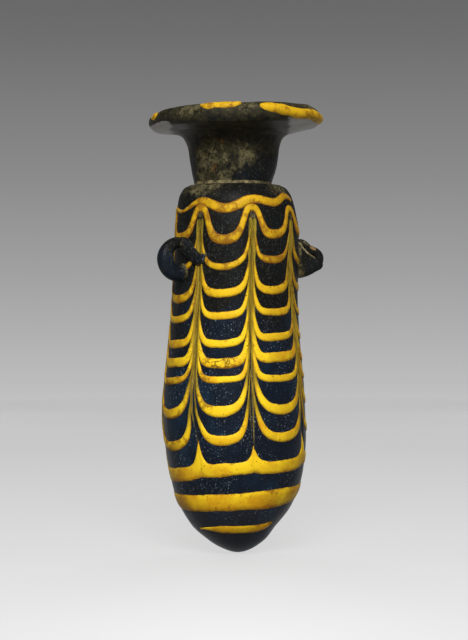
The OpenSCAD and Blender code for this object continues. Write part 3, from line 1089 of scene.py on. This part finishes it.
class Rim:
    """The disc of the rim and how its edge varies round it."""

    # How far it rises to its edge, how far its top dips to the mouth, and the flare there
    LIFT = 1.5 * MM
    DIP = 0.9 * MM
    MOUTH_FLARE = 1 * MM
    EDGE_STEPS, UNDER_STEPS, TOP_STEPS = 14, 5, 6
    # How much deeper its edge is at the front and at the back, and how much thinner at the sides
    DEEP_FRONT, DEEP_BACK, THIN_SIDES = 0.6 * MM, 0.7 * MM, 0.4 * MM
    # How far it tilts up to the right, and droops at both sides
    TILT, DROOP, DROOPING = 0.65 * MM, 0.7 * MM, (0.86, 1)
    # The waves in its edge, and the share of them that goes up and down
    UNEVEN = ((0.22, 2.2, 0, 1.5), (0.10, 7, 0.3, 0), (0.07, 19, 0.8, 0))
    UPRIGHT = 0.6

    def __init__(self, sizes):
        self.sizes = sizes
        self.seat = RIM_BOX[0].z
        self.edge = sizes.rim_edge / 2
        self.edge_z = self.seat + self.LIFT + self.edge
        self.edge_x = sizes.rim_radius - self.edge
        self.mouth = sizes.bore_radius + THROAT_EASE
        self.neck = sizes.neck_radius * NECK_SHAPE[-1][0]

    def outline(self):
        """The outline of the even disc, from the mouth out along its underside and back."""
        low, top = self.seat, self.edge_z + self.edge
        inner, dip = self.mouth + self.MOUTH_FLARE, top - self.DIP
        under = [(self.neck + (self.edge_x - self.neck) * share, low + self.LIFT * share)
                 for share in (i / self.UNDER_STEPS for i in range(self.UNDER_STEPS))]
        turns = [math.pi * (i / self.EDGE_STEPS - 0.5) for i in range(self.EDGE_STEPS + 1)]
        edge = [(self.edge_x + self.edge * math.cos(t), self.edge_z + self.edge * math.sin(t))
                for t in turns]
        over = [(self.edge_x + (inner - self.edge_x) * share,
                 top - self.DIP * smooth_step(0, 1, share))
                for share in (i / self.TOP_STEPS for i in range(1, self.TOP_STEPS))]
        return [
            (self.mouth, low), *under, *edge, *over, (inner, dip),
            (inner - 0.6 * self.MOUTH_FLARE, dip - 0.25 * self.MOUTH_FLARE),
            (self.mouth, dip - self.MOUTH_FLARE),
        ]

    def shaped(self, point):
        """Where a point of the even disc lies on the real one."""
        r = math.hypot(point.x, point.y)
        out = Vector((point.x / r, point.y / r, 0))
        share = smooth_step(self.neck, self.edge_x, r)
        front, sideways = out.dot(FORWARD), out.dot(LEAN_TOWARDS)
        depth = (self.DEEP_FRONT * max(0, front) ** 2 + self.DEEP_BACK * max(0, -front)
                 - self.THIN_SIDES * (1 - front * front))
        low = (self.edge_z + self.edge - point.z) / (2 * self.edge)
        uneven = unevenness(self.UNEVEN, out.x, out.y, point.z)
        tilt = self.TILT * sideways - self.DROOP * smooth_step(*self.DROOPING, abs(sideways))
        up = Vector((0, 0, tilt - depth * low + uneven * self.UPRIGHT))
        return point + (out * uneven + LEAN_TOWARDS * RIM_LEAN + up) * share

    def edge_point(self, angle, up, out):
        """A point out from the rounded edge, at an angle round the disc and an angle up."""
        r = self.edge_x + (self.edge + out) * math.cos(up)
        z = self.edge_z + (self.edge + out) * math.sin(up)
        return self.shaped(Vector((r * math.cos(angle), r * math.sin(angle), z)))


class FLASK_OT_rim(bpy.types.Operator):
    """Make the wide disc of the rim"""

    bl_idname = "flask.rim"
    bl_label = "Rim"

    STEPS = 144
    # Where traces of the thread that is lost are left, and how far round they go
    TRACES, TRACES_ROUND = math.radians(196), (0.93, 0.99)
    # Where the painted reflection lies: how far it is from a line through the disc, front to back
    FILM, FILM_LINE = (11.5 * MM, 17 * MM), -1.2 * MM

    def execute(self, context):
        rim = Rim(context.scene.flask_sizes)
        piece = turn_outline("rim_disk", rim.outline(), self.STEPS, closed=True)
        for v in piece.data.vertices:
            v.co = rim.shaped(v.co)
        mark(piece, "crust", lambda point, normal: 0.52 - 0.3 * max(0, -normal.z))
        mark(piece, "soot", lambda point, normal: 1.6)
        # Painted reflection of the pale sweep: grey under the disc, at its left and right
        mark(piece, "film", lambda point, normal: (
            smooth_step(0.25, 0.75, -normal.z)
            * smooth_step(*self.FILM, abs(point.dot(LEAN_TOWARDS) - self.FILM_LINE))))
        traces = level_way(self.TRACES).xy
        mark(piece, "stain", lambda point, normal: 0.42 * (
            smooth_step(*self.TRACES_ROUND, point.xy.normalized().dot(traces))
            * smooth_step(0.35, 0.6, normal.z) * (1 - smooth_step(0.8, 0.97, normal.z))))
        finish_piece(piece, "rim_disk", made_finish(dark_glass))
        return {"FINISHED"}


class FLASK_OT_rim_thread(bpy.types.Operator):
    """Make the stretches of yellow thread that are left on the edge of the rim"""

    bl_idname = "flask.rim_thread"
    bl_label = "Rim thread"

    STEP = math.radians(2)
    LEAST_STEPS = 5
    SIDES = 14
    # How deep it is set into the edge, how much its thickness wavers, and how blunt its ends are
    SINK = 0.55
    WAVER = 0.22
    BLUNT = 0.04
    # The share of a stretch over which it comes to the height of its far end
    LEVELLED = 0.45

    def execute(self, context):
        sizes = context.scene.flask_sizes
        rim = Rim(sizes)
        stretches = []
        for start, sweep, up_start, up_end, thickness, taper in RIM_STRETCHES:
            count = max(self.LEAST_STEPS, round(math.radians(sweep) / self.STEP))
            length = math.radians(sweep) * sizes.rim_radius
            path, radii = [], []
            for i in range(count + 1):
                share = i / count
                angle = math.radians(start + sweep * share)
                up = math.radians(
                    up_start + (up_end - up_start) * smooth_step(0, self.LEVELLED, share))
                wide = sizes.rim_thread * thickness
                wide *= 1 + self.WAVER * waver(angle * 9, start, 2.0)
                to_end = min(1, min(share, 1 - share) / max(taper, wide / length))
                radius = wide * math.sqrt(max(self.BLUNT, 1 - (1 - to_end) ** 2))
                path.append(rim.edge_point(angle, up, wide - radius - self.SINK * wide))
                radii.append(radius)
            stretches.append(roll_coil(f"stretch_{start}", path, radii, self.SIDES))
        piece = join(stretches, "rim_thread")
        soften(piece)
        finish_piece(piece, "rim_thread", made_finish(yellow_glass))
        return {"FINISHED"}


class FLASK_OT_lugs(bpy.types.Operator):
    """Make the two lugs from coils that arch out of the wall"""

    bl_idname = "flask.lugs"
    bl_label = "Lugs"

    EYE_OUT = 1.55 * MM
    # The left coil's tail from its tip to the ring: degrees round from the lug, height and distance
    # from the wall in millimetres, and thickness as a share of the coil
    TAIL = (
        (28.5, 1.4, -0.3, 0.2), (26, 0.2, 0.0, 0.5), (20, -0.5, 0.3, 0.72), (13.5, 0.9, 0.4, 0.82),
        (8, 2.55, 0.5, 0.84), (3.5, 3.7, 0.8, 0.74),
    )
    # The ring that the tail goes into: its ends in degrees, and its thickness on the way
    RING_ENDS = (98, -128)
    RING_THICK = ((0, 0.66), (0.2, 0.76), (0.42, 1.0), (0.75, 1.0), (1, 0.98))
    RING_FOOT = ((-1.7, -3.0, 1.0), (-3.0, -2.9, 0.95))
    RING_POINTS = 15
    # How flat the tail is pressed, and the degrees over which it flattens
    TAIL_FLAT = 0.5
    TAIL_PRESSED = (3, 13)
    # The right coil from its upper to its lower end: distance from the wall, height from the eye
    # and radius, in millimetres
    RIGHT_RING = (
        (-0.85, 4.1, 1.2), (0.65, 4.05, 1.2), (1.75, 3.8, 1.2), (3.25, 2.55, 1.2),
        (4.85, 1.9, 1.2), (5.8, 1.0, 1.25), (5.85, -0.3, 1.3), (5.15, -1.4, 1.3),
        (3.45, -2.5, 1.4), (1.45, -3.15, 1.45), (-0.85, -3.4, 1.45),
    )
    # The leaf that is folded over the front of it: distance from the wall, lower and upper edge
    # from the height of the eye, and half its thickness
    RIGHT_LEAF = (
        (-0.6, -4.8, 4.7, 1.2), (0.95, -4.55, 4.2, 1.15), (1.65, -4.4, 3.1, 1.1),
        (2.65, -4.1, 2.1, 1.05), (3.65, -3.75, 1.3, 1.0), (4.65, -3.2, 0.7, 0.95),
        (5.65, -2.7, 0.3, 0.9), (6.3, -2.3, -0.2, 0.7), (6.7, -1.7, -0.8, 0.35),
    )
    RING_BACK = -0.5 * MM
    LEAF_FRONT = 1.0 * MM
    KNOT_STEPS, COIL_SIDES, LEAF_SIDES = 3, 22, 28
    # On the front of the right ring, from the wall out: a pale ridge and then a stain
    PALE_RIDGE = ((1.2 * MM, 2.4 * MM), (3.4 * MM, 4.4 * MM))
    STAINED_RIDGE = ((3.3 * MM, 4.2 * MM), (5.0 * MM, 5.8 * MM))
    # The pale upper edge of the leaf: how far under its top it begins, and how far out it ends
    LEAF_EDGE, LEAF_END = (-0.75 * MM, -0.35 * MM), (4.6 * MM, 5.6 * MM)
    # The two creases of the left ring: height from the eye, distance from the wall and to the front
    CREASES = ((3.8 * MM, 1.4 * MM, 1.4 * MM), (-1.8 * MM, 0.8 * MM, 0.8 * MM))
    # The soot on each lug, and how thick the crust at its foot is and how far out it goes
    LEFT_WEAR, RIGHT_WEAR = (0.42, 0.75, 0.6 * MM), (0.9, 1.1, 2.8 * MM)
    # How much further out it goes low on the ring, and the heights from the eye where that begins
    LOW_CRUST, LOW = 1.4 * MM, (-3.0 * MM, -0.5 * MM)
    CROOK_CRUST, CROOK = 0.9, (0.8 * MM, 2.2 * MM)
    DUST, DUST_REACH = 0.42, (0.4 * MM, 2.8 * MM)

    def coil(self, name, knots, aside=Vector((0, 0, 0))):
        """Rolls a coil through knots that hold a place and a radius."""
        coil = smooth_curve(knots, 2 * knots[0] - knots[1], self.KNOT_STEPS)
        return roll_coil(name, [p.xyz + aside for p in coil], [p.w for p in coil], self.COIL_SIDES)

    def left(self, wall):
        """The left lug, a ring with a tail that is pressed on to the wall."""
        s = wall.sizes
        path = [wall.even(LUG_LEFT + math.radians(turn), s.lug_height + up * MM, out * MM)
                for turn, up, out, _ in self.TAIL]
        thick = [row[3] for row in self.TAIL]
        high, low = self.RING_ENDS
        for i in range(self.RING_POINTS):
            share = i / (self.RING_POINTS - 1)
            turn = math.radians(high + (low - high) * share)
            z = s.lug_height + s.lug_ring * math.sin(turn)
            out = self.EYE_OUT + s.lug_ring * math.cos(turn)
            out += wall.radius(s.lug_height) - wall.radius(z)
            path.append(wall.even(LUG_LEFT, z, out))
            thick.append(between(self.RING_THICK, share))
        for out, up, share in self.RING_FOOT:
            path.append(wall.even(LUG_LEFT, s.lug_height + up * MM, out * MM))
            thick.append(share)
        piece = self.coil(
            "left_lug", [Vector((*p, t * s.lug_coil)) for p, t in zip(path, thick)])
        for v in piece.data.vertices:
            turn = math.atan2(v.co.y, v.co.x) % (2 * math.pi) - LUG_LEFT
            r = math.hypot(v.co.x, v.co.y)
            out = r - wall.radius(v.co.z)
            if out > 0:
                pressed = smooth_step(*self.TAIL_PRESSED, math.degrees(turn))
                new = r - out * pressed * self.TAIL_FLAT
                v.co.x, v.co.y = v.co.x * new / r, v.co.y * new / r
        soften(piece)
        return piece

    def right(self, wall):
        """The right lug, a ring with a leaf of glass folded over its front."""
        s = wall.sizes
        front = level_way(LUG_RIGHT - math.pi / 2)
        foot = wall.radius(s.lug_height)

        def spot(out, up):
            z = s.lug_height + up * MM
            return wall.even(LUG_RIGHT, z, foot - wall.radius(z) + out * MM)

        ring = self.coil(
            "right_ring",
            [Vector((*spot(out, up), radius * MM)) for out, up, radius in self.RIGHT_RING],
            front * self.RING_BACK)
        knots = [Vector(row) for row in self.RIGHT_LEAF]
        rings = []
        for out, low, high, half in smooth_curve(knots, 2 * knots[0] - knots[1], self.KNOT_STEPS):
            middle = spot(out, (low + high) / 2) + front * self.LEAF_FRONT
            rings.append((middle, front * half * MM, Vector((0, 0, (high - low) / 2 * MM))))
        leaf = draw_out("right_leaf", rings, self.LEAF_SIDES)
        for piece in (ring, leaf):
            soften(piece)

        def out(point):
            return math.hypot(point.x, point.y) - foot

        def ridge(point, normal, begins, ends):
            """How far a point is on a stretch of the ring's upper front."""
            upper = smooth_step(0.3, 0.7, normal.dot(front)) * smooth_step(0.1, 0.35, normal.z)
            return upper * (smooth_step(*begins, out(point)) - smooth_step(*ends, out(point)))

        mark(ring, "pale", lambda point, normal: 0.5 * ridge(point, normal, *self.PALE_RIDGE))
        mark(ring, "stain", lambda point, normal: 1.1 * ridge(point, normal, *self.STAINED_RIDGE))
        tops = [(row[0] * MM, s.lug_height + row[2] * MM) for row in self.RIGHT_LEAF]
        mark(leaf, "pale", lambda point, normal: 0.58 * (
            smooth_step(*self.LEAF_EDGE, point.z - between(tops, out(point)))
            * (1 - smooth_step(*self.LEAF_END, out(point)))))
        return join([ring, leaf], "right_lug")

    def execute(self, context):
        wall = Wall(context.scene.flask_sizes)
        left, right = self.left(wall), self.right(wall)
        eye = wall.sizes.lug_height
        front = level_way(LUG_LEFT + math.pi / 2)
        crook, under = [wall.even(LUG_LEFT, eye + up, out) for up, out, _ in self.CREASES]
        creases = [place + front * row[2] for place, row in zip((crook, under), self.CREASES)]

        def dusty(point, normal):
            """How close a point is to the creases of the left ring."""
            near = min((point - crease).length for crease in creases)
            return self.DUST * (1 - smooth_step(*self.DUST_REACH, near))

        def crust(point, thick, reach):
            """How crusty a point is by the wall, and in the crook of the left ring."""
            out = math.hypot(point.x, point.y) - wall.radius(point.z)
            low = 1 - smooth_step(*self.LOW, point.z - eye)
            in_crook = 1 - smooth_step(*self.CROOK, (point - crook).length)
            by_wall = 1 - smooth_step(0, reach + self.LOW_CRUST * low, out)
            return 0.05 + thick * by_wall + self.CROOK_CRUST * in_crook

        mark(left, "pale", dusty)
        for piece, node, (soot, thick, reach) in (
                (left, "left_lug", self.LEFT_WEAR), (right, "right_lug", self.RIGHT_WEAR)):
            mark(piece, "crust", lambda point, normal: crust(point, thick, reach))
            mark(piece, "soot", lambda point, normal: soot)
            finish_piece(piece, node, made_finish(dark_glass))
        return {"FINISHED"}


class FLASK_OT_base_stroke(bpy.types.Operator):
    """Make the short yellow stroke under the lowest band"""

    bl_idname = "flask.base_stroke"
    bl_label = "Base stroke"

    LOW = 5.62 * MM
    HIGH = 7.64 * MM
    # Where it begins and how far round it goes, in degrees
    START = 196
    SWEEP = 105
    ALONG, ACROSS = 120, 8
    # The shares of its length that its drawn-out start and its blunt end take up
    DRAWN, BLUNT = 0.36, 0.06
    TIP = 0.06
    TIP_RISE, RISE_POWER = 1.3 * MM, 8
    WAVER = 0.06 * MM
    SINK = 0.12
    BACKING = 0.3 * MM

    def execute(self, context):
        sizes = context.scene.flask_sizes
        wall = Wall(sizes)

        def place(along, across):
            angle = math.radians(self.START + self.SWEEP * along)
            width = (self.HIGH - self.LOW) / 2
            taper = min(1, self.TIP + along / self.DRAWN)
            taper *= math.sqrt(max(0.01, min(1, (1 - along) / self.BLUNT)))
            middle = (self.HIGH + self.LOW) / 2 + self.TIP_RISE * along ** self.RISE_POWER
            v = math.sin(math.pi * (across - 0.5))
            z = middle + width * taper * v + self.WAVER * waver(along * 14, v, 3)
            out = sizes.thread_relief * (math.sqrt(max(0, 1 - v * v)) - self.SINK)
            return wall.around(angle, z, out), (0.0, v)

        piece = lay_strip("base_stroke", self.ALONG, self.ACROSS, place, ("drawn", "across"))
        apply_modifier(piece, "SOLIDIFY", thickness=self.BACKING, offset=-1)
        finish_piece(piece, "base_stroke", made_finish(yellow_glass))
        return {"FINISHED"}


class FLASK_OT_trail(bpy.types.Operator):
    """Make the turns of the combed yellow trail"""

    bl_idname = "flask.trail"
    bl_label = "Trail"

    PANEL_STEPS = 52
    ACROSS = 6
    SINK = 0.14
    BACKING = 0.3 * MM
    # The most relief that a thread has, as a share of half its width
    MOST_RELIEF = 0.6
    MARKS = ("drawn", "across", "worn", "dirty")

    def dirty(self, wall, panels, z):
        """Painted shade: how much darker rust the trail gets on this side of the wall."""
        turn = (wall.angle(panels, z) - FRONT + math.pi) % (2 * math.pi) - math.pi
        return between(SIDE_SHADE, math.degrees(turn), soft=True)

    def execute(self, context):
        sizes = context.scene.flask_sizes
        wall = Wall(sizes)
        trail = Trail(wall)
        finish = made_finish(yellow_glass)
        for turn in range(len(TURNS)):
            panels = COMBS * (TRAIL_END_SHARE if turn == LAST_TURN else 1)

            def place(along, across):
                v = math.sin(math.pi * (across - 0.5))
                where = bunched(turn * COMBS + along * panels)
                aside, z, half, rise = trail.place(where, turn, v)
                relief = min(sizes.thread_relief, self.MOST_RELIEF * half)
                out = relief * (math.sqrt(max(0, 1 - v * v)) - self.SINK)
                drawn = rise / sizes.comb_pull if COMBING[turn] == PULLED else 0.0
                drawn *= 1 + DULLED[math.floor(where) % COMBS]
                worn = trail.at_front(where, WORN, WORN_ELSEWHERE)
                return wall.point(aside, z, out), (drawn, v, worn, self.dirty(wall, aside, z))

            name = f"trail_turn_{turn + 1:02d}"
            steps = round(self.PANEL_STEPS * panels)
            piece = lay_strip(name, steps, self.ACROSS, place, self.MARKS)
            apply_modifier(piece, "SOLIDIFY", thickness=self.BACKING, offset=-1)
            finish_piece(piece, name, finish)
        return {"FINISHED"}


# Stage

# Metres from the bright middle of the floor out and on up the wall, and the tone of the sweep there
SWEEP_TONES = (
    (0, 0.91), (0.054, 0.84), (0.14, 0.757), (0.244, 0.705), (0.41, 0.623), (0.546, 0.561),
    (0.66, 0.53), (0.80, 0.511), (0.95, 0.558), (1.05, 0.622), (1.15, 0.652), (1.40, 0.631),
    (1.556, 0.612), (1.62, 0.569), (1.70, 0.485), (1.84, 0.312), (1.98, 0.190), (2.1, 0.125),
)
# How much of its tone the sweep shows without the light, and how dull it is to the flask
SELF_LIT = 0.86
DULL = 0.2


def stage_finish(colours, centre):
    """A pale sweep that is brightest at the front of the floor and greyer up the wall."""
    f = Finish("stage_finish")
    away = f.vector("MULTIPLY", f.vector("SUBTRACT", f.place, centre), (1, 1, 0))
    across = f.vector("LENGTH", away, output="Value")
    reach = SWEEP_TONES[-1][0]
    shade = f.node(
        "ShaderNodeValToRGB",
        {"stops": [(place / reach, (tone, tone, tone, 1)) for place, tone in SWEEP_TONES]},
        {0: (across + f.height()) * (1 / reach)})
    colour = f.node(
        "ShaderNodeMix", {"data_type": "RGBA", "blend_type": "MULTIPLY"},
        {0: 1.0, 6: shade, 7: full(colours.floor)}, 2)
    seen = f.node("ShaderNodeLightPath", output="Is Camera Ray")
    seen = f.sum(
        "MINIMUM", seen + seen.other("Is Glossy Ray") + seen.other("Is Transmission Ray"), 1.0)
    matt = f.node(
        "ShaderNodeBsdfDiffuse", None, {"Color": f.mix(seen, toned(colours.floor, DULL), colour)})
    glow = f.node("ShaderNodeEmission", None, {"Color": colour, "Strength": 1.0})
    f.end(f.node("ShaderNodeMixShader", None, {0: seen * SELF_LIT, 1: matt, 2: glow}))
    return f.material


class FLASK_OT_stage(bpy.types.Operator):
    """Make the pale sweep, the light and the camera"""

    bl_idname = "flask.stage"
    bl_label = "Stage"

    # The sweep in metres: its radius, the cove at its edge, the height of its wall, and how far its
    # middle lies before the flask
    RADIUS = 1.64
    COVE = 0.12
    COVE_STEPS = 10
    WALL = 1.5
    MIDDLE = 0.14
    LAMP_AWAY = 0.8
    LAMP_SIZE = 0.42
    LAMP_AIM = Vector((0, 0, 55 * MM))
    # The photograph's middle lies this far to the side of the axis
    ASIDE = -0.25 * MM
    SENSOR = 36

    def lamp(self, name, turn, up, power):
        """Adds a round lamp at an angle round the flask and an angle up."""
        way = level_way(turn - math.pi / 2) * math.cos(up) + Vector((0, 0, math.sin(up)))
        bpy.ops.object.light_add(type="AREA", location=self.LAMP_AIM + way * self.LAMP_AWAY)
        lamp = bpy.context.object
        lamp.name = name
        lamp.rotation_euler = (-way).to_track_quat("-Z", "Y").to_euler()
        lamp.data.shape = "DISK"
        lamp.data.size = self.LAMP_SIZE
        lamp.data.energy = power
        lamp.visible_camera = False
        return lamp

    def execute(self, context):
        scene = context.scene
        stage = scene.flask_stage
        camera_way = level_way(stage.azimuth - math.pi / 2)
        centre = camera_way * self.MIDDLE
        turns = [math.pi / 2 * i / self.COVE_STEPS for i in range(self.COVE_STEPS + 1)]
        cove = [(self.RADIUS - self.COVE * (1 - math.sin(t)), self.COVE * (1 - math.cos(t)))
                for t in turns]
        sweep = turn_outline(
            "sweep", [(0, 0), (self.RADIUS / 2, 0), *cove, (self.RADIUS, self.WALL)], stage.columns)
        for v in sweep.data.vertices:
            v.co += centre
        bpy.ops.object.shade_smooth()
        sweep.data.materials.append(stage_finish(scene.flask_colours, centre))

        clear_selection()
        self.lamp("key_light", stage.azimuth + stage.key_aside, stage.key_up, stage.key)
        for name, aside in (("left_back_light", -stage.back_aside),
                            ("right_back_light", stage.back_aside)):
            lamp = self.lamp(name, stage.azimuth + aside, stage.back_up, stage.back)
            lamp.visible_glossy = False

        world = bpy.data.worlds.new("soft_sky")
        world.use_nodes = True
        back = world.node_tree.nodes["Background"]
        back.inputs["Color"].default_value = (1, 1, 1, 1)
        back.inputs["Strength"].default_value = stage.sky
        scene.world = world

        bpy.ops.object.camera_add(
            location=(camera_way * stage.distance + LEAN_TOWARDS * self.ASIDE
                      + Vector((0, 0, stage.height))),
            rotation=Euler((math.pi / 2, 0, stage.azimuth)))
        camera = context.object
        camera.data.lens = stage.lens
        camera.data.sensor_width = self.SENSOR
        scene.camera = camera
        scene.view_settings.view_transform = "Standard"
        return {"FINISHED"}


class FLASK_PT_pieces(bpy.types.Panel):
    """The flask's sizes, colours and pieces"""

    bl_idname = "FLASK_PT_pieces"
    bl_label = "Combed glass flask"
    bl_space_type = "VIEW_3D"
    bl_region_type = "UI"
    bl_category = "Flask"

    def draw(self, context):
        for group, held in GROUPS.items():
            box = self.layout.box()
            settings = getattr(context.scene, held)
            for name in group.__annotations__:
                box.prop(settings, name)
        for operator in OPERATORS:
            self.layout.operator(operator.bl_idname)


GROUPS = {FlaskSizes: "flask_sizes", FlaskColours: "flask_colours", FlaskStage: "flask_stage"}
OPERATORS = (
    FLASK_OT_body, FLASK_OT_neck, FLASK_OT_rim, FLASK_OT_rim_thread, FLASK_OT_lugs,
    FLASK_OT_base_stroke, FLASK_OT_trail, FLASK_OT_stage,
)
CLASSES = (*GROUPS, *OPERATORS, FLASK_PT_pieces)


def register():
    for kind in CLASSES:
        bpy.utils.register_class(kind)
    for group, name in GROUPS.items():
        setattr(bpy.types.Scene, name, PointerProperty(type=group))


def unregister():
    for name in GROUPS.values():
        delattr(bpy.types.Scene, name)
    for kind in reversed(CLASSES):
        bpy.utils.unregister_class(kind)


def main():
    register()
    bpy.ops.flask.body()
    bpy.ops.flask.neck()
    bpy.ops.flask.rim()
    bpy.ops.flask.rim_thread()
    bpy.ops.flask.lugs()
    bpy.ops.flask.base_stroke()
    bpy.ops.flask.trail()
    bpy.ops.flask.stage()


if __name__ == "__main__":
    main()
